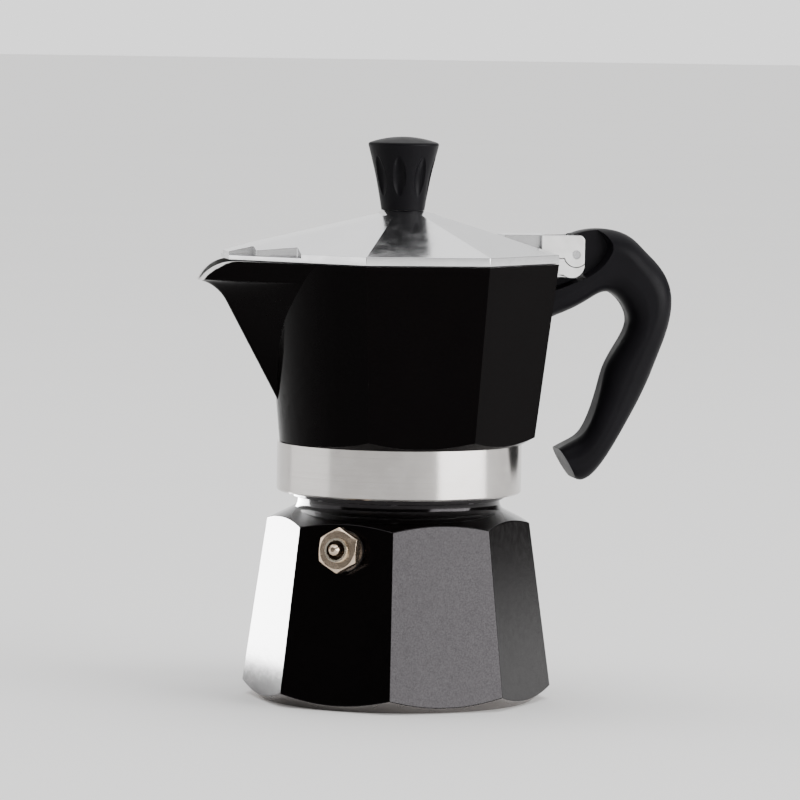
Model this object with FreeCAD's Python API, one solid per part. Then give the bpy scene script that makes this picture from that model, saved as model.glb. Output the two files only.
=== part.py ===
import FreeCAD, Part
import math
import os

Vector = FreeCAD.Vector

# Stovetop coffee pot, three cups. Millimetres, +Z up, origin at the centre of the base.
# The handle points along +X and the spout along -X.

# Fits
slip = 0.3                  # open clearance between pieces that move apart
press = 0.02                # radial room of a pressed or driven fit
running = 0.06              # radial room of a pin or stem that moves
seat = 0.1                  # room between faces that rest on each other
overshoot = 1.0             # how far a cutter runs past the face it opens
match = 0.01                # how near an edge lies to the one looked for

# Boiler
base_radius = 40.2          # flat turned foot
base_bevel = 4.0            # rise of the turned bevel from the foot to the corners
base_bevel_run = 5.3
shoulder_height = 52.0      # where the corners end
shoulder_corner = 38.7      # corner radius there
shoulder_slope = 0.5        # turned shoulder, rise over run
boiler_turn = 10.2          # the screwed joint stops with the octagons out of line
boiler_wall = 3.4
boiler_floor = 4.0
waist_radius = 29.8
waist_round = 2.5
waist_rise = 2.75           # from the shoulder to the underside of the lip
lip_width = 1.3
lip_height = 1.3
neck_bore = 25.7
neck_length = 9.5           # from the lip to the neck's top
thread_radius = 29.0
thread_depth = 0.6
thread_pitch = 2.0
thread_turns = 4

# Safety valve
valve_height = 46.0
valve_facet = -3            # counted from the facet beside the handle
hex_sides = 6
hex_flats = 11.6
hex_thick = 3.2
hex_bevel = 0.6
hex_crown = 30.0            # degrees of the chamfer on the hexagon's corners
valve_shoulder_radius = 5.6
valve_shoulder_length = 1.2
shank_radius = 4.0
shank_length = 6.5
valve_bore = 2.85
valve_boss_radius = 3.45
valve_boss_height = 1.0
valve_seat_thick = 1.2
vent_radius = 1.3
washer_thick = 0.8
washer_radius = 6.0
stem_radius = 1.65
stem_head_radius = 2.6
stem_head_thick = 1.2
stem_reach = 2.0            # how far the stem stands out of the boss
stem_bevel = 0.9
retainer_thick = 1.2
retainer_sink = 1.8
spring_wire = 0.44
spring_radius = 2.22
spring_turns = 6

# Funnel
basket_clearance = 0.5
sheet = 0.8
basket_flange = 2.4
basket_depth = 23.0
strainer_ledge = 1.0
cone_drop = 7.0
tube_radius = 5.5
tube_socket = 4.0
tube_gap = 3.6              # from the tube's end to the boiler's floor

# Gasket and filter plate
gasket_thick = 3.0
gasket_width = 4.0
filter_thick = 0.8
hole_radius = 0.7
hole_step = 3.6
hole_ring_gain = 6          # holes added from one ring to the next

# Collector
band_radius = 36.0
band_height = 14.4
band_bevel = 0.5
under_slope = 0.56          # turned underside of the jug, rise over run
jug_low_apothem = 37.2
jug_rim_apothem = 43.4
front_low_setback = 1.9     # rounded front below the spout, behind the facets' reach
front_rim_setback = 3.2
jug_height = 53.4
jug_wall = 2.6
floor_thick = 3.0
filter_room = 2.4
dome_radius = 23.0

# Spout
keel_inset = 0.8            # how far the keel's foot lies inside the jug's front
keel_rise = 8.7             # from the band to the keel's foot
keel_overhang = 15.1        # from the facets' reach to where the straight keel would meet the rim
crease_setback = 9.5        # where the side creases meet the rim
crease_root = 8.5           # how far the spout's root runs in behind the creases
flare_drop = 12.1           # from the rim down to where the keel starts to flare
flare_radius = 12.0
flare_end = 86.0            # degrees from upright where the flare ends
flare_steps = 6
nose_steps = 20             # enough for the nose's lean to settle
beak_length = 3.0
keel_round = 1.4
nose_round = 4.0
lip_drop_overhang = 7.1     # from the facets' reach to where the lip starts to fall
lip_drop_radius = 10.9
spout_wall = 1.9

# Coffee column
column_radius = 7.0
column_flange = 1.6
column_flange_height = 1.2
column_top_radius = 4.9
column_height = 33.5
column_bore = 3.0
column_cover = 2.2
column_slot = 3.2
column_slot_height = 6.0

# Lid
lid_gap = 0.35
lid_edge = 2.4              # straight rim below the facets
lid_rise = 12.05
lid_seat_apothem = 6.1
lid_wall = 1.8
roof_slope = 0.237          # flat strip from the knob to the spout, rise over run
roof_drop = 1.2             # how far the strip starts below the knob's seat
hood_setback = 9.2          # where the hood over the spout starts
hood_half = 19.5
hood_run = 11.2
hood_end_half = 13.8
beak_run = 6.9
beak_half = 6.4
flange_lap = 0.3            # how far the flange shows past the beak
flange_thick = 1.3

# Hinge
pin_overhang = 7.1          # from the jug's rear facet to the pin
pin_rise = 2.45             # from the rim to the pin
pin_radius = 1.2
lug_half = 8.4
lug_lap = 3.3               # how far the ears run in over the rear facet
lug_behind = 2.5            # from the pin to the back of the ears
lug_above = 5.65            # from the pin to the top of the ears
lug_round = 1.6
ear_below = 1.0             # from the pin to the underside of the ears
ear_boss = 3.6              # round of the ears about the pin, cut off flush with their back
neck_half = 6.0
neck_run = 13.9
block_below = 6.8           # from the pin to the bottom of the jug's hinge block
block_round = 3.8
tongue_half = 4.0
tongue_round = 2.4          # knuckle between the ears

# Knob
knob_base = 6.35
knob_crown = 10.55
knob_height = 19.6
knob_hollow = 0.3           # how far the flank bows in between base and crown
knob_dome = 1.9
knob_edge = 0.8             # rounding of the crown's edge
knob_gap = 0.1
flutes = 8
flute_turn = 27.0
flute_bulge = 2.4           # half thickness of the spindle that scoops a flute
flute_axis = 0.9            # from the straight flank out to the spindle's axis
flute_foot = 2.0            # from the knob's base
flute_head = 2.0            # from the crown's edge
insert_radius = 3.2
insert_length = 9.0
screw_radius = 2.0
screw_head_radius = 3.9
screw_head_thick = 2.2
screw_head_bevel = 1.0
screw_length = 9.0
screw_slot = 0.9
screw_slot_depth = 1.1
knob_washer_radius = 5.2
knob_washer_thick = 0.8

# Handle
handle_half = 8.2
handle_round = 6.2
round_share = 0.9           # most of a half width that the rounding may take
web_half = 4.0
handle_gap = 0.3
hub_above = 5.7             # from the hinge pin to the hub's top and underside
hub_below = 20.6
spigot_below = 9.6          # from the hinge pin to the spigot's top
spigot_height = 5.4
spigot_before = 1.5         # from the spigot's end to the hinge pin
spigot_half = 4.2
spigot_room = 0.15
handle_pin_radius = 1.2
handle_pin_cover = 2.0
# Belly and back of the grip from the hub to the foot, as x and z from the hinge pin
grip_run = [
    ((0.5, -15.9), (2.1, 6.7)),
    ((6.9, -12.2), (9.7, 7.5)),
    ((10.8, -11.1), (17.2, 5.3)),
    ((14.7, -13.7), (24.2, -1.1)),
    ((17.1, -18.4), (30.0, -11.2)),
    ((16.6, -22.6), (29.1, -21.4)),
    ((12.5, -29.8), (25.3, -32.2)),
    ((9.2, -39.2), (20.4, -43.2)),
    ((6.0, -49.6), (14.3, -54.0)),
    ((2.1, -54.4), (7.7, -64.1)),
    ((-3.5, -57.5), (1.5, -66.2)),
]
web_lap = 0.7               # how far the web reaches over the hinge pin
# Side recesses that clear the swinging ears, from the hinge pin
recess_run = [
    (-9.8, -12.0),
    (-5.8, -10.6),
    (-1.7, -9.1),
    (2.2, -7.5),
    (5.5, -5.7),
    (8.2, -3.6),
    (10.3, -0.9),
    (11.4, 2.0),
    (10.7, 4.7),
    (8.6, 7.4),
    (5.6, 10.0),
]
recess_lean = 0.9           # size of a recess at the web, as a share of its mouth

eighth = math.pi / 4
half_eighth = math.pi / 8
diagonal = math.cos(eighth)
corner_ratio = 1 / math.cos(half_eighth)
back_corner_count = 6       # the octagon's corners behind the pointed front
back_corner_start = 5 * half_eighth


def polygon(points):
    return Part.makePolygon(points + points[:1])


def turned(points):
    face = Part.Face(polygon([Vector(radius, 0, height) for radius, height in points]))
    return face.revolve(Vector(0, 0, 0), Vector(0, 0, 1), 360)


def disc(radius, low, high):
    return Part.makeCylinder(radius, high - low, Vector(0, 0, low))


def ring(inner, outer, low, high):
    return disc(outer, low, high).cut(disc(inner, low - overshoot, high + overshoot))


def block(x_low, x_high, half, z_low, z_high):
    return Part.makeBox(x_high - x_low, 2 * half, z_high - z_low, Vector(x_low, -half, z_low))


def plate(points, half):
    face = Part.Face(polygon([Vector(x, -half, z) for x, z in points]))
    return face.extrude(Vector(0, 2 * half, 0))


def cross_pin(radius, x, z, low, high):
    return Part.makeCylinder(radius, high - low, Vector(x, low, z), Vector(0, 1, 0))


def regular(sides, corner, height, turn):
    points = []
    for side in range(sides):
        angle = math.radians(turn) + (2 * side + 1) * math.pi / sides
        points.append(Vector(corner * math.cos(angle), corner * math.sin(angle), height))
    return polygon(points)


def loft(wires, ruled=True):
    return Part.makeLoft(wires, True, ruled)


def save(name, shape):
    shape = shape.removeSplitter()
    print(name, len(shape.Solids), "solid", round(shape.Volume, 1), "mm3", shape.isValid())
    shape.exportStep("parts/" + name + ".step")


# Heights that several pieces share
waist_height = shoulder_height + (shoulder_corner - waist_radius) * shoulder_slope
waist_top = waist_height + waist_rise
lip_top = waist_top + lip_height
neck_top = lip_top + neck_length
band_low = lip_top + slip
band_high = band_low + band_height
rim_height = band_high + jug_height
flange_top = neck_top + seat + sheet
gasket_low = flange_top + seat
gasket_high = gasket_low + gasket_thick
gasket_seat = gasket_high + seat
bore_radius = thread_radius + slip
gasket_outer = bore_radius - slip
gasket_inner = gasket_outer - gasket_width
filter_low = gasket_low + (gasket_thick - filter_thick) / 2
dome_top = gasket_seat + filter_room
jug_floor = dome_top + floor_thick
lid_low = rim_height + lid_gap
lid_eaves = lid_low + lid_edge
lid_top = lid_eaves + lid_rise
jug_low_front = jug_low_apothem - front_low_setback
jug_rim_front = jug_rim_apothem - front_rim_setback
keel_foot = jug_low_front - keel_inset
keel_foot_height = band_high + keel_rise
keel_lean = (jug_rim_apothem + keel_overhang - keel_foot) / (rim_height - keel_foot_height)
crease_reach = jug_rim_apothem - crease_setback
crease_half = jug_rim_apothem / diagonal - crease_reach
flare_height = rim_height - flare_drop
lip_drop_start = jug_rim_apothem + lip_drop_overhang
hood_start = jug_rim_apothem - hood_setback
hood_end = hood_start + hood_run
beak_end = hood_end + beak_run
flange_end = beak_end + flange_lap
pin_reach = jug_rim_apothem + pin_overhang
pin_height = rim_height + pin_rise
lug_front = jug_rim_apothem - lug_lap
lug_back = pin_reach + lug_behind
lug_top = pin_height + lug_above
ear_low = pin_height - ear_below
block_low = pin_height - block_below
spigot_reach = pin_reach - spigot_before
spigot_high = pin_height - spigot_below
spigot_low = spigot_high - spigot_height


def thread_profile(crest, depth, low, high):
    points = [(crest, low)]
    start = high - thread_turns * thread_pitch - thread_pitch / 2
    for turn in range(thread_turns):
        bottom = start + turn * thread_pitch
        points.append((crest, bottom))
        points.append((crest + depth, bottom + thread_pitch / 2))
    points.append((crest, start + thread_turns * thread_pitch))
    points.append((crest, high))
    return points


# Boiler

def boiler_corner(height):
    foot_corner = base_radius + base_bevel_run
    fall = (foot_corner - shoulder_corner) / (shoulder_height - base_bevel)
    return foot_corner - fall * (height - base_bevel)


def boiler_apothem(height):
    return boiler_corner(height) / corner_ratio


def make_boiler(valve_place):
    wide = base_radius + 3 * base_bevel_run
    shell = loft([regular(8, boiler_corner(height), height, boiler_turn) for height in (0, waist_height)])
    lathe = turned([
        (0, 0),
        (base_radius, 0),
        (wide, 3 * base_bevel),
        (wide, waist_height - (wide - waist_radius) * shoulder_slope),
        (waist_radius, waist_height),
        (0, waist_height),
    ])
    neck = turned(
        [(0, boiler_floor), (waist_radius, boiler_floor), (waist_radius, waist_top)]
        + [(waist_radius + lip_width, waist_top), (waist_radius + lip_width, lip_top)]
        + thread_profile(thread_radius, -thread_depth, lip_top, neck_top)
        + [(0, neck_top)]
    )
    body = shell.common(lathe).fuse(neck).removeSplitter()
    waist_edges = []
    for edge in body.Edges:
        box = edge.BoundBox
        flat = abs(box.ZMax - waist_height) + abs(box.ZMin - waist_height) < match
        if flat and abs(box.XMax - waist_radius) < match:
            waist_edges.append(edge)
    body = body.makeFillet(waist_round, waist_edges)
    vault = waist_height - boiler_wall
    vault_radius = boiler_apothem(vault) - boiler_wall
    spring_line = vault - (vault_radius - neck_bore) * shoulder_slope
    cavity = turned([
        (0, boiler_floor),
        (boiler_apothem(boiler_floor) - boiler_wall - base_bevel, boiler_floor),
        (boiler_apothem(boiler_floor + base_bevel) - boiler_wall, boiler_floor + base_bevel),
        (boiler_apothem(spring_line) - boiler_wall, spring_line),
        (neck_bore, vault),
        (neck_bore, neck_top + overshoot),
        (0, neck_top + overshoot),
    ])
    hole = disc(shank_radius + press, -2 * boiler_wall - shank_length, overshoot)
    hole.Placement = valve_place
    return body.cut(cavity).cut(hole)


# Safety valve, built along +Z from the facet and then placed on it

def valve_angle():
    return math.radians(boiler_turn) + valve_facet * eighth


def valve_placement():
    angle = valve_angle()
    fall = boiler_apothem(0) - boiler_apothem(1)
    outward = Vector(math.cos(angle), math.sin(angle), fall)
    reach = boiler_apothem(valve_height)
    point = Vector(reach * math.cos(angle), reach * math.sin(angle), valve_height)
    return FreeCAD.Placement(point, FreeCAD.Rotation(Vector(0, 0, 1), outward))


hex_low = washer_thick + valve_shoulder_length
hex_high = hex_low + hex_thick
boss_high = hex_high + valve_boss_height
stem_seat = valve_seat_thick - shank_length
stem_head_high = stem_seat + stem_head_thick
retainer_high = boss_high - retainer_sink
retainer_low = retainer_high - retainer_thick


def make_valve_washer():
    return ring(shank_radius + press, washer_radius, 0, washer_thick)


def make_valve_body():
    half_side = math.pi / hex_sides
    upright = math.degrees(valve_angle() - half_side)
    flats = Part.Face(regular(hex_sides, hex_flats / 2 / math.cos(half_side), hex_low, upright))
    head = flats.extrude(Vector(0, 0, hex_thick))
    crown = hex_flats / 2 - hex_bevel / 2
    rounded = turned([
        (0, hex_low),
        (hex_flats, hex_low),
        (hex_flats, hex_high - (hex_flats - crown) * math.tan(math.radians(hex_crown))),
        (crown, hex_high),
        (0, hex_high),
    ])
    head = head.common(rounded)
    head = head.fuse(disc(valve_shoulder_radius, washer_thick, hex_low))
    head = head.fuse(disc(shank_radius, -shank_length, washer_thick))
    head = head.fuse(disc(valve_boss_radius, hex_high, boss_high))
    head = head.cut(disc(valve_bore, stem_seat, boss_high + overshoot))
    return head.cut(disc(vent_radius, -shank_length - overshoot, stem_seat + overshoot))


def make_valve_stem():
    tip = boss_high + stem_reach
    return turned([
        (0, stem_seat),
        (stem_head_radius, stem_seat),
        (stem_head_radius, stem_head_high),
        (stem_radius, stem_head_high),
        (stem_radius, tip - stem_bevel),
        (stem_radius - stem_bevel, tip),
        (0, tip),
    ])


def make_valve_retainer():
    return ring(stem_radius + running, valve_bore - press, retainer_low, retainer_high)


def biarc(start, start_way, end, end_way):
    chord = end - start
    ways = start_way + end_way
    along = chord.dot(ways)
    room = 2 * (1 - start_way.dot(end_way))
    reach = (math.sqrt(along * along + room * chord.dot(chord)) - along) / room
    middle = (start + end + (start_way - end_way) * reach) * 0.5
    edges = []
    for first, way, last in ((start, start_way, middle), (end, end_way * -1, middle)):
        across = last - first
        normal = across - way * across.dot(way)
        radius = across.dot(across) / (2 * normal.Length)
        centre = first + normal.normalize() * radius
        bulge = (first + last) * 0.5 - centre
        edges.append(Part.Arc(first, centre + bulge.normalize() * radius, last).toShape())
    return edges


def make_valve_spring():
    low = stem_head_high + spring_wire / 2 + seat
    high = retainer_low - spring_wire / 2 - seat
    climb = (high - low) / spring_turns
    quarter = math.pi / 2

    def at(step):
        angle = step * quarter
        height = low + climb * step / 4
        return Vector(spring_radius * math.cos(angle), spring_radius * math.sin(angle), height)

    def way(step):
        angle = step * quarter
        rise = climb / 4 / quarter
        return Vector(-spring_radius * math.sin(angle), spring_radius * math.cos(angle), rise).normalize()

    edges = []
    for step in range(4 * spring_turns):
        edges += biarc(at(step), way(step), at(step + 1), way(step + 1))
    path = Part.Wire(Part.__sortEdges__(edges))
    section = Part.Wire(Part.Circle(at(0), way(0), spring_wire / 2).toShape())
    rise = math.atan(climb / (4 * quarter * spring_radius))
    print("spring gap between turns", round(climb * math.cos(rise) - spring_wire, 3), "mm")
    return path.makePipeShell([section], True, False)


# Funnel, lifted out of the boiler to fill it

basket_outer = neck_bore - basket_clearance
basket_inner = basket_outer - sheet
strainer_low = neck_top - basket_depth
cone_low = strainer_low - cone_drop
socket_low = cone_low - tube_socket


def make_funnel_basket():
    tube_bore = tube_radius + press
    return turned([
        (basket_inner, flange_top),
        (basket_inner, strainer_low),
        (basket_inner - strainer_ledge, strainer_low),
        (tube_bore, cone_low),
        (tube_bore, socket_low),
        (tube_bore + sheet, socket_low),
        (tube_bore + sheet, cone_low - sheet),
        (basket_outer, strainer_low - 2 * sheet),
        (basket_outer, neck_top + seat),
        (basket_outer + basket_flange, neck_top + seat),
        (basket_outer + basket_flange, flange_top),
    ])


def make_funnel_tube():
    return ring(tube_radius - sheet, tube_radius, boiler_floor + tube_gap, cone_low)


def perforated(radius, low, high, rim):
    holes = []
    rings = int((radius - rim) / hole_step)
    for row in range(1, rings + 1):
        count = int(hole_ring_gain * row)
        for number in range(count):
            angle = 2 * math.pi * number / count
            reach = row * hole_step
            place = Vector(reach * math.cos(angle), reach * math.sin(angle), low - overshoot)
            holes.append(Part.makeCylinder(hole_radius, high - low + 2 * overshoot, place))
    return disc(radius, low, high).cut(Part.makeCompound(holes))


def make_strainer():
    return perforated(basket_inner - seat, strainer_low, strainer_low + sheet, 2 * strainer_ledge)


# Gasket and filter plate under the collector

def make_gasket():
    return ring(gasket_inner, gasket_outer, gasket_low, gasket_high)


def make_filter_plate():
    return perforated(gasket_inner - seat, filter_low, filter_low + filter_thick, 2 * strainer_ledge)


# Collector: band, jug and spout in one casting

def jug_apothem(height):
    share = (height - band_high) / (rim_height - band_high)
    return jug_low_apothem + (jug_rim_apothem - jug_low_apothem) * share


def jug_front(height):
    share = (height - band_high) / (rim_height - band_high)
    return jug_low_front + (jug_rim_front - jug_low_front) * share


def back_corners(apothem, height):
    corner = apothem * corner_ratio
    points = []
    for number in range(back_corner_count):
        angle = back_corner_start - number * eighth
        points.append(Vector(corner * math.cos(angle), corner * math.sin(angle), height))
    return points


def jug_section(height, inset):
    apothem = jug_apothem(height) - inset
    front = jug_front(height) - inset
    bend = (apothem - front * diagonal) / (1 - diagonal)
    centre = bend - front
    points = [Vector(centre - bend * diagonal, bend * diagonal, height)]
    points += back_corners(apothem, height)
    points.append(Vector(centre - bend * diagonal, -bend * diagonal, height))
    edges = [Part.makeLine(first, last) for first, last in zip(points, points[1:])]
    edges.append(Part.Arc(points[-1], Vector(-front, 0, height), points[0]).toShape())
    return Part.Wire(edges)


def keel_reach(height):
    return keel_foot + keel_lean * (height - keel_foot_height)


def spout_section(height, nose, rounding, inset):
    back = crease_reach - crease_root
    spread = crease_half / (keel_reach(rim_height) - crease_reach)
    half = spread * (keel_reach(height) - crease_reach)
    apex = nose + rounding
    for _ in range(nose_steps):
        lean = math.atan2(half, apex - crease_reach)
        apex = nose + rounding * (1 / math.sin(lean) - 1)
    inner_round = max(rounding - inset, keel_round / 2)
    tip = apex - inset / math.sin(lean)
    centre = tip - inner_round / math.sin(lean)
    flank = (tip - back) * math.tan(lean)
    touch_x = centre + inner_round * math.sin(lean)
    touch_y = inner_round * math.cos(lean)
    points = [
        Vector(-back, flank, height),
        Vector(-touch_x, touch_y, height),
        Vector(-touch_x, -touch_y, height),
        Vector(-back, -flank, height),
    ]
    return Part.Wire([
        Part.makeLine(points[0], points[1]),
        Part.Arc(points[1], Vector(-centre - inner_round, 0, height), points[2]).toShape(),
        Part.makeLine(points[2], points[3]),
        Part.makeLine(points[3], points[0]),
    ])


def make_spout(inset, top):
    lean = math.atan(keel_lean)
    level = math.radians(flare_end)
    lower = keel_foot_height + inset
    heights = (lower, flare_height)
    straight = [spout_section(height, keel_reach(height), keel_round, inset) for height in heights]
    flare = []
    for step in range(flare_steps + 1):
        angle = lean + (level - lean) * step / flare_steps
        height = flare_height + flare_radius * (math.sin(angle) - math.sin(lean))
        nose = keel_reach(flare_height) + flare_radius * (math.cos(lean) - math.cos(angle))
        rounding = keel_round + (nose_round - keel_round) * step / flare_steps
        flare.append(spout_section(height, nose, rounding, inset))
    beak = spout_section(top, nose + beak_length, nose_round, inset)
    lowest = loft(straight)
    middle = loft(flare, False)
    return lowest.fuse(middle).fuse(loft([flare[-1], beak]))


def make_jug_outside():
    wide = 2 * band_radius
    jug = loft([jug_section(height, 0) for height in (band_high, rim_height)])
    lathe = turned([
        (0, band_high),
        (band_radius, band_high),
        (wide, band_high + (wide - band_radius) * under_slope),
        (wide, rim_height + overshoot),
        (0, rim_height + overshoot),
    ])
    spout = make_spout(0, rim_height)
    drop_centre = rim_height - lip_drop_radius
    far = lip_drop_start + 3 * lip_drop_radius
    drop = block(-far, -lip_drop_start, 2 * crease_half, drop_centre, rim_height + overshoot)
    wide = 2 * crease_half
    drop = drop.cut(cross_pin(lip_drop_radius, -lip_drop_start, drop_centre, -wide, wide))
    return jug.common(lathe).fuse(spout).cut(drop)


def make_hinge_block():
    wall_face = jug_apothem(block_low) - jug_wall / 2
    centre = lug_back - block_round
    round_height = block_low + block_round
    seam = ear_low - slip
    wide = cross_pin(block_round, centre, round_height, -lug_half, lug_half)
    wide = wide.fuse(block(wall_face, centre, lug_half, block_low + block_round / 4, seam))
    wide = wide.fuse(block(wall_face, lug_back, lug_half, round_height, seam))
    wide = wide.common(block(wall_face, lug_back, lug_half, block_low, seam))
    wide = wide.cut(cross_pin(ear_boss + slip, pin_reach, pin_height, -lug_half, lug_half))
    wide = wide.cut(block(wall_face, jug_rim_apothem + slip, lug_half, rim_height, seam + overshoot))
    tongue_front = pin_reach - tongue_round
    tongue_back = pin_reach + tongue_round
    tongue_low = pin_height - ear_boss - 2 * slip
    tongue = block(tongue_front, tongue_back, tongue_half, tongue_low, pin_height)
    knuckle = cross_pin(tongue_round, pin_reach, pin_height, -tongue_half, tongue_half)
    return wide.fuse(tongue).fuse(knuckle)


def make_collector():
    band = turned([
        (0, band_low),
        (band_radius - band_bevel, band_low),
        (band_radius, band_low + band_bevel),
        (band_radius, band_high),
        (0, band_high),
    ])
    body = band.fuse(make_jug_outside())
    body = body.fuse(make_hinge_block())
    root = jug_apothem(spigot_low) - jug_wall / 2
    body = body.fuse(block(root, spigot_reach, spigot_half, spigot_low, spigot_high))
    cavity = loft([jug_section(height, jug_wall) for height in (jug_floor, rim_height + overshoot)])
    body = body.cut(cavity.fuse(make_spout(spout_wall, rim_height + overshoot)))
    bore = turned(
        [(0, band_low - overshoot)]
        + thread_profile(bore_radius, thread_depth, band_low - overshoot, neck_top)
        + [(bore_radius, gasket_seat), (0, gasket_seat)]
    )
    body = body.cut(bore)
    body = body.cut(disc(dome_radius, gasket_seat - overshoot, dome_top))
    body = body.cut(disc(column_radius + press, dome_top - overshoot, jug_floor + overshoot))
    body = body.cut(cross_pin(pin_radius + press, pin_reach, pin_height, -2 * lug_half, 2 * lug_half))
    pin_x, pin_z = handle_pin_place()
    return body.cut(cross_pin(handle_pin_radius + press, pin_x, pin_z, -handle_half, handle_half))


def make_column():
    column_top = jug_floor + column_height
    shoulder = jug_floor + column_flange_height
    column = turned([
        (column_bore, dome_top),
        (column_radius, dome_top),
        (column_radius, jug_floor),
        (column_radius + column_flange, jug_floor),
        (column_radius + column_flange, shoulder),
        (column_radius, shoulder),
        (column_top_radius, column_top - column_cover),
        (column_top_radius - column_cover / 2, column_top),
        (0, column_top),
        (0, column_top - column_cover),
        (column_bore, column_top - column_cover),
    ])
    slot_high = column_top - column_cover
    slot_low = slot_high - column_slot_height
    slot = block(-column_slot / 2, column_slot / 2, 2 * column_radius, slot_low, slot_high)
    return column.cut(slot)


# Lid

lid_fall = (lid_top - lid_eaves) / (jug_rim_apothem - lid_seat_apothem)


def lid_cone(height, inset):
    apothem = jug_rim_apothem - inset - (height - lid_eaves) / lid_fall
    points = [Vector(-apothem / diagonal, 0, height)]
    points += back_corners(apothem, height)
    return polygon(points)


def flange_outline(inset, end):
    apothem = jug_rim_apothem - inset
    half = apothem / diagonal - end
    points = [Vector(-end, -half, 0), Vector(-end, half, 0)]
    points += back_corners(apothem, 0)
    return polygon(points)


def hood_outline(inset):
    apothem = jug_rim_apothem - inset
    start = hood_start - inset
    end = hood_end - inset
    halves = [
        (beak_end - inset, beak_half - inset),
        (end, beak_half - inset),
        (end, hood_end_half - inset),
        (start, hood_half - inset),
        (start, apothem / diagonal - start),
    ]
    points = [Vector(-reach, half, 0) for reach, half in halves]
    points += back_corners(apothem, 0)
    points += [Vector(-reach, -half, 0) for reach, half in reversed(halves)]
    return polygon(points)


def prism(outline, low, high):
    face = Part.Face(outline)
    face.translate(Vector(0, 0, low))
    return face.extrude(Vector(0, 0, high - low))


def lid_form(inset, low):
    drop = inset / math.cos(math.atan(lid_fall))
    side = drop / lid_fall
    pyramid = loft([lid_cone(height, side) for height in (lid_eaves, lid_top - drop)])
    far = 2 * jug_rim_apothem
    roof_high = lid_top - roof_drop - inset
    roof = plate([
        (-far, low - far * roof_slope),
        (-far, roof_high - (far - lid_seat_apothem) * roof_slope),
        (-lid_seat_apothem, roof_high),
        (-lid_seat_apothem, lid_top + overshoot),
        (far, lid_top + overshoot),
        (far, low - far * roof_slope),
    ], far)
    top = pyramid.fuse(prism(flange_outline(inset, flange_end), low, lid_eaves))
    return top.common(roof).common(prism(hood_outline(inset), low, lid_top + overshoot))


def make_lid():
    body = lid_form(0, lid_low)
    flange = prism(flange_outline(0, flange_end), lid_low, lid_low + flange_thick)
    neck_start = jug_rim_apothem - neck_run
    neck = plate([
        (neck_start, lid_eaves),
        (neck_start, lug_top),
        (lug_front, lug_top),
        (lug_front, lid_low),
        (jug_rim_apothem - lid_wall, lid_low),
        (jug_rim_apothem - lid_wall, lid_eaves),
    ], neck_half)
    ears = block(lug_front, lug_back - lug_round, lug_half, ear_low, lug_top)
    ears = ears.fuse(block(lug_front, lug_back, lug_half, pin_height, lug_top - lug_round))
    ears = ears.fuse(cross_pin(lug_round, lug_back - lug_round, lug_top - lug_round, -lug_half, lug_half))
    boss = cross_pin(ear_boss, pin_reach, pin_height, -lug_half, lug_half)
    ears = ears.fuse(boss.common(block(lug_front, lug_back, lug_half, pin_height - ear_boss, lug_top)))
    slot_front = lug_front + lid_wall
    slot_back = lug_back + overshoot
    slot_low = pin_height - ear_boss - overshoot
    slot = block(slot_front, slot_back, tongue_half + slip, slot_low, lug_top + overshoot)
    body = body.fuse(flange).fuse(neck).fuse(ears.cut(slot))
    body = body.cut(lid_form(lid_wall, lid_low - overshoot))
    body = body.cut(cross_pin(pin_radius + running, pin_reach, pin_height, -2 * lug_half, 2 * lug_half))
    return body.cut(disc(screw_radius + slip, lid_low, lid_top + overshoot))


def make_hinge_pin():
    return cross_pin(pin_radius, pin_reach, pin_height, -lug_half, lug_half)


# Knob, screwed on from inside the lid

knob_low = lid_top + knob_gap


def make_flute():
    flare = (knob_crown - knob_base) / knob_height
    head_rise = knob_height - flute_head
    foot = Vector(knob_base + flare * flute_foot + flute_axis, 0, knob_low + flute_foot)
    head = Vector(knob_base + flare * head_rise + flute_axis, 0, knob_low + head_rise)
    run = head - foot
    outward = Vector(run.z, 0, -run.x).normalize()
    middle = (foot + head) * 0.5 + outward * flute_bulge
    bow = Part.Arc(foot, middle, head).toShape()
    return Part.Face(Part.Wire([bow, Part.makeLine(head, foot)])).revolve(foot, run, 360)


def make_knob():
    crown_height = knob_low + knob_height
    dome_bend = (knob_crown * knob_crown + knob_dome * knob_dome) / (2 * knob_dome)
    top = crown_height + knob_dome
    foot = Vector(knob_base, 0, knob_low)
    waist = Vector((knob_base + knob_crown) / 2 - knob_hollow, 0, knob_low + knob_height / 2)
    crown = Vector(knob_crown, 0, crown_height)
    flank = Part.Arc(foot, waist, crown).toShape()
    rest = Part.makePolygon([crown, Vector(knob_crown, 0, top), Vector(0, 0, top)]
                            + [Vector(0, 0, knob_low), foot])
    body = Part.Face(Part.Wire([flank] + rest.Edges)).revolve(Vector(), Vector(0, 0, 1), 360)
    body = body.common(Part.makeSphere(dome_bend, Vector(0, 0, top - dome_bend)))
    crown_edges = []
    for edge in body.Edges:
        box = edge.BoundBox
        if abs(box.ZMin - crown_height) + abs(box.ZMax - crown_height) < match:
            crown_edges.append(edge)
    body = body.makeFillet(knob_edge, crown_edges)
    for flute in range(flutes):
        scoop = make_flute()
        scoop.rotate(Vector(), Vector(0, 0, 1), flute_turn + 360 * flute / flutes)
        body = body.cut(scoop)
    return body.cut(disc(insert_radius + press, knob_low - overshoot, knob_low + insert_length))


def make_knob_insert():
    return ring(screw_radius + press, insert_radius, knob_low, knob_low + insert_length)


screw_seat = lid_top - lid_wall / math.cos(math.atan(lid_fall)) - seat


def make_knob_washer():
    return ring(screw_radius + running, knob_washer_radius, screw_seat - knob_washer_thick, screw_seat)


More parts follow.
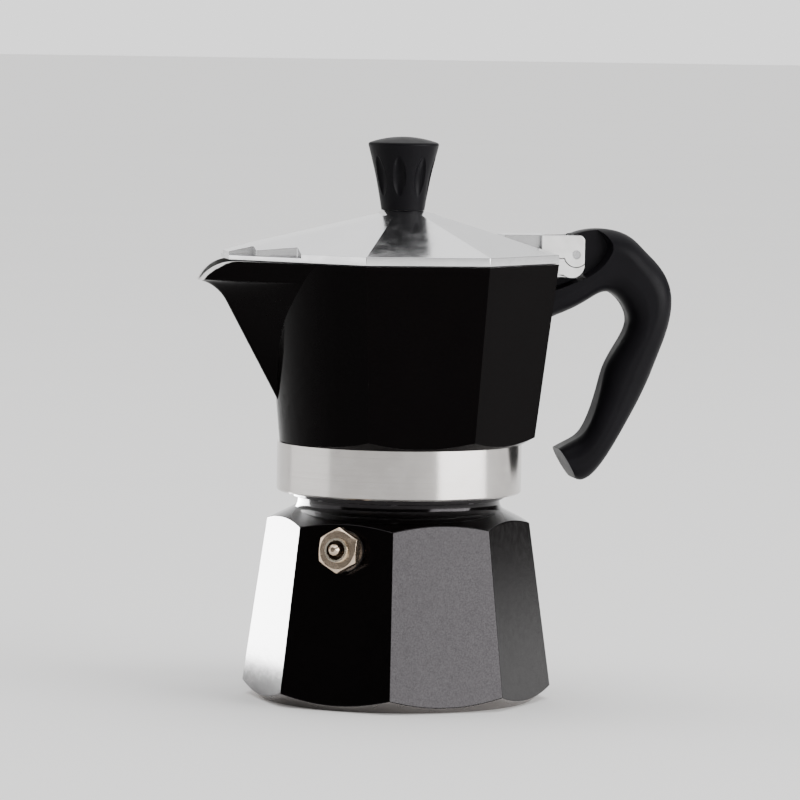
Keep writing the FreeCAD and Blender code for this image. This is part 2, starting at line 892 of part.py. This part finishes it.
def make_knob_screw():
    head_high = screw_seat - knob_washer_thick
    head_low = head_high - screw_head_thick
    screw = turned([
        (0, head_low),
        (screw_head_radius - screw_head_bevel, head_low),
        (screw_head_radius, head_low + screw_head_bevel),
        (screw_head_radius, head_high),
        (screw_radius, head_high),
        (screw_radius, head_high + screw_length),
        (0, head_high + screw_length),
    ])
    slot_high = head_low + screw_slot_depth
    slot_low = head_low - overshoot
    return screw.cut(block(-screw_head_radius, screw_head_radius, screw_slot / 2, slot_low, slot_high))


# Handle

def grip_section(belly, back):
    low = Vector(belly[0], 0, belly[1])
    high = Vector(back[0], 0, back[1])
    along = (high - low).normalize()
    across = Vector(0, 1, 0)
    middle = (low + high) * 0.5
    deep = (high - low).Length / 2
    rounding = min(handle_round, round_share * deep, round_share * handle_half)
    bulge = rounding * (1 - diagonal)
    edges = []
    start = middle + along * (deep - rounding) + across * handle_half
    for up, side in ((1, 1), (1, -1), (-1, -1), (-1, 1)):
        inner = middle + along * up * (deep - rounding) + across * side * handle_half
        outer = middle + along * up * deep + across * side * (handle_half - rounding)
        corner = middle + along * up * (deep - bulge) + across * side * (handle_half - bulge)
        first, last = (inner, outer) if up == side else (outer, inner)
        if edges:
            edges.append(Part.makeLine(end, first))
        edges.append(Part.Arc(first, corner, last).toShape())
        end = last
    edges.append(Part.makeLine(end, start))
    return Part.Wire(edges)


def handle_pin_place():
    return (jug_apothem(spigot_low) + spigot_reach) / 2, (spigot_low + spigot_high) / 2


def from_pin(points):
    return [(pin_reach + x, pin_height + z) for x, z in points]


def recess_wire(share, side):
    points = [Vector(pin_reach + x * share, side, pin_height + z * share) for x, z in recess_run]
    curve = Part.BSplineCurve()
    curve.interpolate(points)
    corner = Vector(points[0].x, side, points[-1].z)
    return Part.Wire([curve.toShape(), Part.makeLine(points[-1], corner), Part.makeLine(corner, points[0])])


def make_handle():
    shelf = block_low - handle_gap
    web_front = lug_back + 2 * slip
    web_tip = pin_reach - web_lap
    knuckle_top = pin_height + tongue_round + slip
    hub_low = pin_height - hub_below
    hub_high = pin_height + hub_above
    face_low = (jug_apothem(hub_low) + handle_gap, hub_low)
    face_high = (jug_apothem(hub_high) + handle_gap, hub_high)
    stations = [grip_section(face_low, face_high)]
    for run in grip_run:
        belly, back = from_pin(run)
        stations.append(grip_section(belly, back))
    body = loft(stations, False)
    inside = jug_apothem(hub_low) - jug_wall
    for side in (-1, 1):
        mouth = recess_wire(1, side * (handle_half + overshoot))
        floor = recess_wire(recess_lean, side * web_half)
        body = body.cut(loft([mouth, floor]))
    body = body.cut(block(inside, web_front, 2 * handle_half, shelf, knuckle_top))
    body = body.cut(block(inside, web_tip, 2 * handle_half, shelf, lid_top))
    socket = block(inside, spigot_reach + spigot_room, spigot_half + spigot_room,
                   spigot_low - spigot_room, spigot_high + spigot_room)
    pin_x, pin_z = handle_pin_place()
    near_end = handle_pin_cover - handle_half
    bore = cross_pin(handle_pin_radius + press, pin_x, pin_z, near_end, 2 * handle_half)
    return body.cut(socket).cut(bore)


def make_handle_pin():
    pin_x, pin_z = handle_pin_place()
    far_end = handle_half - handle_pin_cover
    return cross_pin(handle_pin_radius, pin_x, pin_z, -far_end, far_end)


os.makedirs("parts", exist_ok=True)
valve_place = valve_placement()
save("boiler", make_boiler(valve_place))
valve_pieces = {
    "valve_washer": make_valve_washer(),
    "valve_body": make_valve_body(),
    "valve_stem": make_valve_stem(),
    "valve_spring": make_valve_spring(),
    "valve_retainer": make_valve_retainer(),
}
for name, piece in valve_pieces.items():
    piece.Placement = valve_place.multiply(piece.Placement)
    save(name, piece)
save("funnel_basket", make_funnel_basket())
save("funnel_tube", make_funnel_tube())
save("basket_strainer", make_strainer())
save("gasket", make_gasket())
save("filter_plate", make_filter_plate())
save("collector", make_collector())
save("coffee_column", make_column())
save("lid", make_lid())
save("hinge_pin", make_hinge_pin())
save("knob", make_knob())
save("knob_insert", make_knob_insert())
save("knob_washer", make_knob_washer())
save("knob_screw", make_knob_screw())
save("handle", make_handle())
save("handle_pin", make_handle_pin())
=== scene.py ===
import bpy
import bmesh
import math
from mathutils import Vector, Matrix
from mathutils.bvhtree import BVHTree


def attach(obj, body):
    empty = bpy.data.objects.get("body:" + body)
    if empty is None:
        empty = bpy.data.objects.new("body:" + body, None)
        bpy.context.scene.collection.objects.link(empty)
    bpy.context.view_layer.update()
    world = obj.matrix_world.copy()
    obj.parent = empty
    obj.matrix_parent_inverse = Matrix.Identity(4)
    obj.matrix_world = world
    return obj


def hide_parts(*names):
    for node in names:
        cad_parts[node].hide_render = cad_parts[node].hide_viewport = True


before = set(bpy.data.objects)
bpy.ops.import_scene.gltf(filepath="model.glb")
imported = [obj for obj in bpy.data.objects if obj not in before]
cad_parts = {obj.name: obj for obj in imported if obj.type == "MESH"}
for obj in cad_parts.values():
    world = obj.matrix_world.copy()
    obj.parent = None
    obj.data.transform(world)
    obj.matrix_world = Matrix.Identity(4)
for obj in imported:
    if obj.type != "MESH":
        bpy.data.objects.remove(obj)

scene = bpy.context.scene
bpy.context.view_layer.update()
mm = 0.001
print("frame loaded:", len(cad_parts), "nodes")


class Wire:
    # a socket with its tree, so that shader maths reads as plain sums

    def __init__(self, tree, socket):
        self.tree = tree
        self.socket = socket

    def node(self, kind, settings=None, values=None, out=0):
        made = self.tree.nodes.new(kind)
        for key, value in (settings or {}).items():
            setattr(made, key, value)
        for key, value in (values or {}).items():
            if isinstance(value, Wire):
                self.tree.links.new(value.socket, made.inputs[key])
            else:
                made.inputs[key].default_value = value
        return Wire(self.tree, made.outputs[out])

    def math(self, operation, first, second=0.0):
        return self.node("ShaderNodeMath", {"operation": operation}, {0: first, 1: second})

    def __add__(self, other):
        return self.math("ADD", self, other)

    def __radd__(self, other):
        return self.math("ADD", other, self)

    def __sub__(self, other):
        return self.math("SUBTRACT", self, other)

    def __rsub__(self, other):
        return self.math("SUBTRACT", other, self)

    def __mul__(self, other):
        return self.math("MULTIPLY", self, other)

    def __rmul__(self, other):
        return self.math("MULTIPLY", other, self)

    def __pow__(self, other):
        return self.math("POWER", self, other)

    def above(self, other):
        return self.math("MAXIMUM", self, other)

    def fade(self, low, high, lowTo=0.0, highTo=1.0):
        return self.node("ShaderNodeMapRange", {"interpolation_type": "SMOOTHSTEP"}, {
            "Value": self, "From Min": low, "From Max": high, "To Min": lowTo, "To Max": highTo})

    def split(self):
        parts = self.tree.nodes.new("ShaderNodeSeparateXYZ")
        self.tree.links.new(self.socket, parts.inputs[0])
        return [Wire(self.tree, parts.outputs[index]) for index in range(3)]

    def stretched(self, scale):
        return self.node("ShaderNodeMapping", None, {"Vector": self, "Scale": scale})

    def noise(self, scale, detail=3.0, roughness=0.55):
        return self.node("ShaderNodeTexNoise", None, {
            "Vector": self, "Scale": scale, "Detail": detail, "Roughness": roughness})

    def mix(self, first, second):
        # colours by this factor
        made = self.tree.nodes.new("ShaderNodeMix")
        made.data_type = "RGBA"
        self.tree.links.new(self.socket, made.inputs["Factor"])
        for key, value in ((6, first), (7, second)):
            if isinstance(value, Wire):
                self.tree.links.new(value.socket, made.inputs[key])
            else:
                made.inputs[key].default_value = value
        return Wire(self.tree, made.outputs[2])

    def bump(self, distance, strength=1.0, under=None):
        values = {"Height": self, "Distance": distance, "Strength": strength}
        if under is not None:
            values["Normal"] = under
        return self.node("ShaderNodeBump", None, values)


def startFinish(name):
    material = bpy.data.materials.new(name)
    material.use_nodes = True
    tree = material.node_tree
    shader = tree.nodes["Principled BSDF"]
    coords = tree.nodes.new("ShaderNodeTexCoord")
    place = Wire(tree, coords.outputs["Object"])
    return material, shader, place


def applyFinish(shader, **sockets):
    names = {"colour": "Base Color", "roughness": "Roughness", "metallic": "Metallic", "normal": "Normal",
             "coat": "Coat Weight", "coatRoughness": "Coat Roughness", "specular": "Specular IOR Level",
             "anisotropic": "Anisotropic", "turn": "Anisotropic Rotation"}
    for key, value in sockets.items():
        socket = shader.inputs[names[key]]
        if isinstance(value, Wire):
            value.tree.links.new(value.socket, socket)
        else:
            socket.default_value = value


# Finishes

enamelLook = {"dark": (0.0009, 0.0006, 0.0006, 1), "light": (0.0019, 0.0014, 0.0014, 1),
              "gloss": 0.10, "dull": 0.15, "peel": 0.000008, "grain": 0.000004,
              "cloudScale": 45.0, "peelScale": 520.0, "grainScale": 2300.0, "smearScale": 420.0,
              "peelStrength": 0.5, "grainStrength": 0.6, "coatRoughness": 0.1,
              "tint": (1.0, 0.93, 0.99, 1.0), "bare": (0.78, 0.77, 0.76, 1), "bareDuller": 0.14}


def makeEnamel(name, specular, coat, bareMask=None):
    material, shader, place = startFinish(name)
    cloud = place.noise(enamelLook["cloudScale"], 3.0)
    peel = place.noise(enamelLook["peelScale"], 2.0)
    grain = place.noise(enamelLook["grainScale"], 3.0, 0.7)
    smears = place.noise(enamelLook["smearScale"], 4.0, 0.7)
    colour = cloud.mix(enamelLook["dark"], enamelLook["light"])
    roughness = smears.fade(0.35, 0.75, enamelLook["gloss"], enamelLook["dull"])
    ripple = peel.bump(enamelLook["peel"], enamelLook["peelStrength"])
    normal = grain.bump(enamelLook["grain"], enamelLook["grainStrength"], ripple)
    mottle = grain.fade(0.3, 0.7, 0.0, coat)
    metallic = 0.0
    if bareMask is not None:
        bare = bareMask(place, smears)
        colour = bare.mix(colour, enamelLook["bare"])
        roughness = roughness + bare * enamelLook["bareDuller"]
        metallic = bare
    applyFinish(shader, colour=colour, roughness=roughness, metallic=metallic, normal=normal, coat=mottle,
                coatRoughness=enamelLook["coatRoughness"], specular=specular)
    shader.inputs["Specular Tint"].default_value = enamelLook["tint"]
    return material


# the lip is rubbed bare near the spout's tip, where the paint stops short of the machined edge
lipWear = {"startReach": 50.5 * mm, "dropCentre": 117.7 * mm, "dropRadius": 10.9 * mm, "margin": 0.8 * mm,
           "ragged": 0.5 * mm, "soft": 0.15 * mm, "edge": 0.12 * mm}


def lipMask(place, smears):
    x, y, z = place.split()
    along = (x * -1.0 - lipWear["startReach"]).above(0.0)
    rise = z - lipWear["dropCentre"]
    inside = lipWear["dropRadius"] - (along * along + rise * rise) ** 0.5
    reach = along.fade(0.5 * mm, 6.0 * mm) * lipWear["margin"] + (smears - 0.5) * lipWear["ragged"]
    worn = (reach - inside).fade(-lipWear["soft"], lipWear["soft"])
    return worn * along.fade(0.2 * mm, 1.0 * mm)


bandLook = {"light": (0.68, 0.655, 0.635, 1), "dark": (0.47, 0.445, 0.425, 1), "rings": 0.000006,
            "ringScale": (6.0, 6.0, 5200.0), "coarseScale": (9.0, 9.0, 900.0), "coarse": 0.00001,
            "hazeScale": 160.0, "smooth": 0.2, "dull": 0.26, "drawn": 0.88, "turn": 0.25}


def makeTurned(name):
    material, shader, place = startFinish(name)
    rings = place.stretched(bandLook["ringScale"]).noise(1.0, 4.0, 0.6)
    coarse = place.stretched(bandLook["coarseScale"]).noise(1.0, 2.0)
    haze = place.noise(bandLook["hazeScale"], 3.0)
    colour = rings.mix(bandLook["dark"], bandLook["light"])
    roughness = haze.fade(0.3, 0.7, bandLook["smooth"], bandLook["dull"])
    normal = rings.bump(bandLook["rings"], 0.9, coarse.bump(bandLook["coarse"], 0.5))
    applyFinish(shader, colour=colour, roughness=roughness, metallic=1.0, normal=normal,
                anisotropic=bandLook["drawn"], turn=bandLook["turn"])
    return material


castLook = {"cloudScale": 60.0, "grainScale": 1500.0, "hazeScale": 240.0}


def makeCast(name, light, dark, grain, roughLow, roughHigh):
    material, shader, place = startFinish(name)
    cloud = place.noise(castLook["cloudScale"], 4.0)
    fine = place.noise(castLook["grainScale"], 3.0)
    colour = cloud.mix(dark, light)
    roughness = place.noise(castLook["hazeScale"], 4.0, 0.7).fade(0.3, 0.7, roughLow, roughHigh)
    applyFinish(shader, colour=colour, roughness=roughness, metallic=1.0, normal=fine.bump(grain, 0.7))
    return material


lidLook = {"light": (0.81, 0.81, 0.815, 1), "dark": (0.71, 0.71, 0.72, 1), "cloudScale": 38.0,
           "brushScale": (180.0, 1700.0, 900.0), "hairScale": (2600.0, 140.0, 900.0), "hazeScale": 130.0,
           "smooth": 0.13, "dull": 0.24, "brush": 0.0000028, "hair": 0.0000018}


def makePolished(name):
    material, shader, place = startFinish(name)
    cloud = place.noise(lidLook["cloudScale"], 4.0)
    brush = place.stretched(lidLook["brushScale"]).noise(1.0, 3.0, 0.6)
    hair = place.stretched(lidLook["hairScale"]).noise(1.0, 2.0)
    colour = cloud.mix(lidLook["dark"], lidLook["light"])
    haze = place.noise(lidLook["hazeScale"], 5.0, 0.7)
    roughness = haze.fade(0.3, 0.75, lidLook["smooth"], lidLook["dull"])
    normal = brush.bump(lidLook["brush"], 0.8, hair.bump(lidLook["hair"], 0.6))
    applyFinish(shader, colour=colour, roughness=roughness, metallic=1.0, normal=normal)
    return material


plasticLook = {"dark": (0.0045, 0.0042, 0.005, 1), "light": (0.0075, 0.007, 0.0085, 1), "grain": 0.00001,
               "cloudScale": 70.0, "grainScale": 2600.0, "rubScale": 90.0,
               "smooth": 0.36, "dull": 0.46, "specular": 0.055}


def makePlastic(name):
    material, shader, place = startFinish(name)
    cloud = place.noise(plasticLook["cloudScale"], 3.0)
    grain = place.noise(plasticLook["grainScale"], 3.0)
    rub = place.noise(plasticLook["rubScale"], 5.0, 0.7)
    colour = cloud.mix(plasticLook["dark"], plasticLook["light"])
    roughness = rub.fade(0.3, 0.7, plasticLook["smooth"], plasticLook["dull"])
    applyFinish(shader, colour=colour, roughness=roughness, normal=grain.bump(plasticLook["grain"], 0.7),
                specular=plasticLook["specular"])
    return material


brassLook = {"cloudScale": 420.0, "grainScale": 6000.0, "smooth": 0.24, "dull": 0.29, "grain": 0.0000015}


def makeBrass(name, light, dark):
    material, shader, place = startFinish(name)
    cloud = place.noise(brassLook["cloudScale"], 4.0)
    fine = place.noise(brassLook["grainScale"], 2.0)
    colour = cloud.mix(dark, light)
    roughness = cloud.fade(0.3, 0.7, brassLook["smooth"], brassLook["dull"])
    normal = fine.bump(brassLook["grain"], 0.7)
    applyFinish(shader, colour=colour, roughness=roughness, metallic=1.0, normal=normal)
    return material


rubberLook = {"dark": (0.5, 0.48, 0.43, 1), "light": (0.62, 0.6, 0.55, 1), "cloudScale": 200.0,
              "grainScale": 1800.0, "smooth": 0.5, "dull": 0.68, "grain": 0.00002}


def makeRubber(name):
    material, shader, place = startFinish(name)
    cloud = place.noise(rubberLook["cloudScale"], 4.0)
    colour = cloud.mix(rubberLook["dark"], rubberLook["light"])
    roughness = cloud.fade(0.3, 0.7, rubberLook["smooth"], rubberLook["dull"])
    normal = place.noise(rubberLook["grainScale"]).bump(rubberLook["grain"], 0.6)
    applyFinish(shader, colour=colour, roughness=roughness, normal=normal)
    return material


finishes = {
    "boilerEnamel": makeEnamel("boilerEnamel", 0.15, 0.17),
    "jugEnamel": makeEnamel("jugEnamel", 0.018, 0.02, lipMask),
    "turnedAluminium": makeTurned("turnedAluminium"),
    "castAluminium": makeCast("castAluminium", (0.78, 0.78, 0.78, 1), (0.6, 0.6, 0.6, 1),
                              0.00003, 0.3, 0.45),
    # painted shade: this dark aluminium on the boiler's foot bevel stands in for the contact shadow there
    # and the shaded floor it mirrors
    "paintedShadeAluminium": makeCast("paintedShadeAluminium", (0.32, 0.3, 0.29, 1), (0.2, 0.185, 0.18, 1),
                              0.00001, 0.26, 0.4),
    "brightCasting": makeCast("brightCasting", (0.9, 0.89, 0.88, 1), (0.8, 0.79, 0.78, 1),
                              0.000008, 0.34, 0.48),
    "sheetAluminium": makeCast("sheetAluminium", (0.8, 0.8, 0.81, 1), (0.7, 0.7, 0.71, 1),
                               0.000008, 0.2, 0.32),
    "polishedAluminium": makePolished("polishedAluminium"),
    "blackPlastic": makePlastic("blackPlastic"),
    "paleBrass": makeBrass("paleBrass", (0.66, 0.53, 0.41, 1), (0.6, 0.47, 0.35, 1)),
    # painted highlight: light brass on the valve's boss round its mouth, standing in for the bright ring of
    # reflected light there
    "highlightBrass": makeBrass("highlightBrass", (0.94, 0.85, 0.7, 1), (0.88, 0.78, 0.62, 1)),
    # painted shade: near-black brass for the valve's bore, standing in for the shadow down it
    "boreShadeBrass": makeBrass("boreShadeBrass", (0.07, 0.05, 0.035, 1), (0.035, 0.025, 0.018, 1)),
    "insertBrass": makeBrass("insertBrass", (0.8, 0.62, 0.32, 1), (0.62, 0.45, 0.2, 1)),
    "pinSteel": makeCast("pinSteel", (0.66, 0.66, 0.67, 1), (0.52, 0.52, 0.53, 1),
                         0.000006, 0.18, 0.3),
    "sealRubber": makeRubber("sealRubber"),
}
print("finishes made:", len(finishes))


# Dressed copies of the CAD nodes: merged, softened along their edges and finished face by face

dressing = {"weld": 0.002 * mm, "flat": math.radians(0.25), "smoothAngle": 32, "weight": 60,
            "clear": 0.02 * mm, "sight": 0.3}


def dressNode(name, body, settings, chooseFinish, softenHere=lambda place: True):
    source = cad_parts[name]
    work = bmesh.new()
    work.from_mesh(source.data)
    bmesh.ops.remove_doubles(work, verts=work.verts, dist=dressing["weld"])
    bmesh.ops.dissolve_limit(work, angle_limit=dressing["flat"], verts=work.verts, edges=work.edges,
                             use_dissolve_boundaries=False)
    keep = [edge for edge in work.edges if len(edge.link_faces) == 2
            and edge.calc_face_angle(0.0) > math.radians(settings["edgeAngle"])
            and softenHere((edge.verts[0].co + edge.verts[1].co) / 2)]
    bmesh.ops.bevel(work, geom=keep, offset=settings["soften"], offset_type="OFFSET", affect="EDGES",
                    segments=settings["segments"], profile=0.5, material=-1, clamp_overlap=True)
    work.normal_update()
    tree = BVHTree.FromBMesh(work)
    slots = settings["finishes"]
    for face in work.faces:
        face.smooth = True
        face.material_index = slots.index(chooseFinish(face, tree))
    smoothAngle = math.radians(settings.get("smoothAngle", dressing["smoothAngle"]))
    for edge in work.edges:
        edge.smooth = len(edge.link_faces) == 2 and edge.calc_face_angle(0.0) < smoothAngle
    mesh = bpy.data.meshes.new(name + "_dress")
    work.to_mesh(mesh)
    work.free()
    piece = bpy.data.objects.new(name + "_dress", mesh)
    scene.collection.objects.link(piece)
    for finish in slots:
        mesh.materials.append(finishes[finish])
    # flat faces stay flat beside softened edges
    even = piece.modifiers.new("evenShading", "WEIGHTED_NORMAL")
    even.keep_sharp = True
    even.weight = dressing["weight"]
    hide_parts(name)
    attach(piece, body)
    print("dressed", name, len(mesh.polygons), "faces")


def opensOut(face, tree):
    # true where nothing of the same piece stands in front of the face
    start = face.calc_center_median() + face.normal * dressing["clear"]
    hit = tree.ray_cast(start, face.normal, dressing["sight"])
    return hit[0] is None


jugDress = {"edgeAngle": 20.0, "soften": 0.35 * mm, "segments": 2,
            "finishes": ["jugEnamel", "turnedAluminium", "castAluminium", "brightCasting"],
            "bandTop": 75.2 * mm, "bandRadius": 36.0 * mm, "rim": 128.6 * mm,
            "wallLow": 37.2 * mm, "wallRim": 43.4 * mm,
            "blockHalf": 8.6 * mm, "blockLow": 114.0 * mm, "bandInner": 34.0 * mm,
            "crispFrom": 39 * mm, "crispHalf": 9 * mm}


def jugFinish(face, tree):
    middle = face.calc_center_median()
    wide = Vector((middle.x, middle.y)).length
    if middle.z < jugDress["bandTop"] + 0.2 * mm:
        overhang = face.normal.z < -0.3 or wide > jugDress["bandRadius"] + 0.1 * mm
        if overhang and middle.z > jugDress["bandTop"] - 0.1 * mm:
            return "jugEnamel"
        return "turnedAluminium" if wide > jugDress["bandInner"] else "castAluminium"
    share = (middle.z - jugDress["bandTop"]) / (jugDress["rim"] - jugDress["bandTop"])
    wall = jugDress["wallLow"] + (jugDress["wallRim"] - jugDress["wallLow"]) * share
    onBlock = abs(middle.y) < jugDress["blockHalf"] and middle.z > jugDress["blockLow"]
    if middle.x > wall + 0.3 * mm and onBlock:
        return "brightCasting"
    if middle.z > jugDress["rim"] - 0.1 * mm and face.normal.z > 0.6:
        return "brightCasting"
    along = max(-middle.x - lipWear["startReach"], 0.0)
    rise = middle.z - lipWear["dropCentre"]
    if along > 0 and rise > 0 and abs(math.hypot(along, rise) - lipWear["dropRadius"]) < lipWear["edge"]:
        return "brightCasting"
    if not opensOut(face, tree):
        return "castAluminium"
    inward = face.normal.x * middle.x + face.normal.y * middle.y < 0
    if middle.x < -wall:
        inward = face.normal.y * math.copysign(1.0, middle.y) < face.normal.x
    return "brightCasting" if inward else "jugEnamel"


boilerDress = {"edgeAngle": 20.0, "soften": 0.3 * mm, "segments": 3,
               "finishes": ["boilerEnamel", "turnedAluminium", "castAluminium", "paintedShadeAluminium"],
               "neckFoot": 60.45 * mm, "bevelTop": 8.0 * mm}


def boilerFinish(face, tree):
    middle = face.calc_center_median()
    if middle.z > boilerDress["neckFoot"]:
        return "turnedAluminium"
    if not opensOut(face, tree):
        return "castAluminium"
    # painted shade: the downward bevel at the foot takes the dark aluminium that stands in for its contact
    # shadow
    if middle.z < boilerDress["bevelTop"] and face.normal.z < -0.55:
        return "paintedShadeAluminium"
    return "boilerEnamel"


def oneFinish(name):
    return lambda face, tree: name


lidDress = {"edgeAngle": 8.0, "soften": 0.18 * mm, "segments": 2,
            "finishes": ["polishedAluminium", "brightCasting"], "earFront": 46.0 * mm}


def lidFinish(face, tree):
    # the ears are left as cast, beside the polished facets
    ear = face.calc_center_median().x > lidDress["earFront"]
    return "brightCasting" if ear else "polishedAluminium"


knobDress = {"edgeAngle": 24.0, "soften": 0.3 * mm, "segments": 2, "finishes": ["blackPlastic"]}
handleDress = {"edgeAngle": 30.0, "soften": 0.7 * mm, "segments": 3, "finishes": ["blackPlastic"],
               "smoothAngle": 40}
valveDress = {"edgeAngle": 20.0, "soften": 0.12 * mm, "segments": 2,
              "finishes": ["paleBrass", "highlightBrass", "boreShadeBrass"],
              "axis": Vector((-0.565887, -0.814205, 0.129776)), "bossFoot": 4.7 * mm, "bore": 2.87 * mm,
              "boss": 3.55 * mm}
washerPoints = [vertex.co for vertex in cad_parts["valve_washer"].data.vertices]
valveDress["middle"] = sum(washerPoints, Vector()) / len(washerPoints)


def valveFinish(face, tree):
    # painted highlight: a lighter brass round the mouth; painted shade: a near-black brass down the bore
    # behind it
    axis = valveDress["axis"]
    corners = [vertex.co - valveDress["middle"] for vertex in face.verts]
    wide = max((corner - axis * corner.dot(axis)).length for corner in corners)
    if wide < valveDress["bore"]:
        return "boreShadeBrass"
    raised = min(corner.dot(axis) for corner in corners) > valveDress["bossFoot"]
    return "highlightBrass" if raised and wide < valveDress["boss"] else "paleBrass"


stemDress = {"edgeAngle": 20.0, "soften": 0.12 * mm, "segments": 2, "finishes": ["paleBrass"]}


def jugSoften(place):
    # the hinge block and the line where the band meets the jug stay crisp
    onBand = (abs(place.z - jugDress["bandTop"]) < 0.3 * mm
              and abs(place.xy.length - jugDress["bandRadius"]) < 0.2 * mm)
    return not onBand and (place.x < jugDress["crispFrom"] or abs(place.y) > jugDress["crispHalf"])


dressNode("collector", "collector", jugDress, jugFinish, jugSoften)
dressNode("boiler", "boiler", boilerDress, boilerFinish)
dressNode("lid", "lid", lidDress, lidFinish)
dressNode("knob", "lid", knobDress, oneFinish("blackPlastic"))
dressNode("handle", "collector", handleDress, oneFinish("blackPlastic"))
dressNode("valve_body", "boiler", valveDress, valveFinish)
dressNode("valve_stem", "valve_stem", stemDress, oneFinish("paleBrass"))

# The other nodes keep their CAD form
plainFinishes = {
    # the valve washer takes the foot's painted-shade aluminium, and the valve retainer the bore's
    # painted-shade brass
    "valve_washer": "paintedShadeAluminium", "valve_retainer": "boreShadeBrass", "valve_spring": "pinSteel",
    "funnel_basket": "sheetAluminium", "funnel_tube": "sheetAluminium", "basket_strainer": "sheetAluminium",
    "gasket": "sealRubber", "filter_plate": "sheetAluminium", "coffee_column": "castAluminium",
    "hinge_pin": "pinSteel", "knob_insert": "insertBrass", "knob_washer": "pinSteel",
    "knob_screw": "pinSteel", "handle_pin": "pinSteel",
}
for name, finish in plainFinishes.items():
    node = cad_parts[name]
    node.data.materials.clear()
    node.data.materials.append(finishes[finish])
print("plain nodes finished:", len(plainFinishes))


# Camera, at the photo's angle

cameraSet = {"azimuth": -10.0, "distance": 1.468, "height": 0.192, "pitch": 4.07, "roll": 0.856,
             "lens": 225.0, "sensor": 36.0, "near": 0.05, "far": 200.0}
aim = math.radians(cameraSet["azimuth"])
cameraData = bpy.data.cameras.new("photoCamera")
cameraData.lens = cameraSet["lens"]
cameraData.sensor_width = cameraSet["sensor"]
cameraData.clip_start = cameraSet["near"]
cameraData.clip_end = cameraSet["far"]
camera = bpy.data.objects.new("photoCamera", cameraData)
scene.collection.objects.link(camera)
camera.location = (math.sin(aim) * cameraSet["distance"], -math.cos(aim) * cameraSet["distance"],
                   cameraSet["height"])
tilt = math.radians(90.0 - cameraSet["pitch"])
camera.rotation_euler = (Matrix.Rotation(aim, 3, "Z") @ Matrix.Rotation(tilt, 3, "X")
                         @ Matrix.Rotation(math.radians(cameraSet["roll"]), 3, "Z")).to_euler()
scene.camera = camera


# Floor and light

floorSet = {"half": 60.0, "colour": (0.83, 0.825, 0.82, 1), "shade": (0.8, 0.795, 0.79, 1),
            "cloudScale": 3.0, "roughness": 0.9, "specular": 0.1}
floorMesh = bpy.data.meshes.new("floor")
work = bmesh.new()
bmesh.ops.create_grid(work, x_segments=2, y_segments=2, size=floorSet["half"])
work.to_mesh(floorMesh)
work.free()
floor = bpy.data.objects.new("floor", floorMesh)
scene.collection.objects.link(floor)
floorMaterial, floorShader, floorPlace = startFinish("floorCard")
floorColour = floorPlace.noise(floorSet["cloudScale"]).mix(floorSet["shade"], floorSet["colour"])
applyFinish(floorShader, colour=floorColour, roughness=floorSet["roughness"], specular=floorSet["specular"])
floorMesh.materials.append(floorMaterial)

# panels are placed by their angle from the camera, to the right, and by height
panels = {
    "keyBackLeft": {"angle": -139.0, "away": 0.3, "height": 0.06, "wide": 0.22, "tall": 0.12,
                    "power": 5.0, "lights": ["boiler_dress"]},
    "sideLeft": {"angle": -95.0, "away": 2.2, "height": 0.5, "wide": 2.2, "tall": 1.0, "power": 16.0},
    "sideRight": {"angle": 63.0, "away": 2.3, "height": 0.6, "wide": 2.2, "tall": 1.1, "power": 88.0},
}
for name, panel in panels.items():
    plan = math.radians(-90.0 + cameraSet["azimuth"] + panel["angle"])
    away = Vector((math.cos(plan), math.sin(plan), 0))
    light = bpy.data.lights.new(name, "AREA")
    light.shape = "RECTANGLE"
    light.size = panel["wide"]
    light.size_y = panel["tall"]
    light.energy = panel["power"]
    holder = bpy.data.objects.new(name, light)
    scene.collection.objects.link(holder)
    holder.location = away * panel["away"] + Vector((0, 0, panel["height"]))
    holder.rotation_euler = away.to_track_quat("Z", "Y").to_euler()
    holder.visible_camera = False
    if "lights" in panel:
        lit = bpy.data.collections.new(name + "Lit")  # this card lights only these pieces
        for pieceName in panel["lights"]:
            lit.objects.link(bpy.data.objects[pieceName])
        holder.light_linking.receiver_collection = lit

# brightness by direction, and the range of each fade between them
worldSet = {"front": 0.08, "back": 1.6, "top": 1.8, "zenith": 3.2, "backFade": (0.8, 0.98),
            "topFade": (0.27, 0.55), "topFrontFade": (-0.2, 0.35), "topFront": 0.12,
            "zenithFade": (0.75, 0.9)}
world = bpy.data.worlds.new("studio")
world.use_nodes = True
scene.world = world
backdrop = world.node_tree.nodes["Background"]
sky = Wire(world.node_tree, world.node_tree.nodes.new("ShaderNodeTexCoord").outputs["Generated"])
eastward, northward, upward = sky.split()
toBack = northward * math.cos(aim) + eastward * -math.sin(aim)
level = toBack.fade(*worldSet["backFade"], worldSet["front"], worldSet["back"])
overhead = upward.fade(*worldSet["topFade"], 0.0, worldSet["top"])
level = level.above(overhead * toBack.fade(*worldSet["topFrontFade"], worldSet["topFront"], 1.0))
level = level.above(upward.fade(*worldSet["zenithFade"], 0.0, worldSet["zenith"]))
backdrop.inputs["Color"].default_value = (1.0, 1.0, 1.0, 1.0)
world.node_tree.links.new(level.socket, backdrop.inputs["Strength"])
print("stage set")
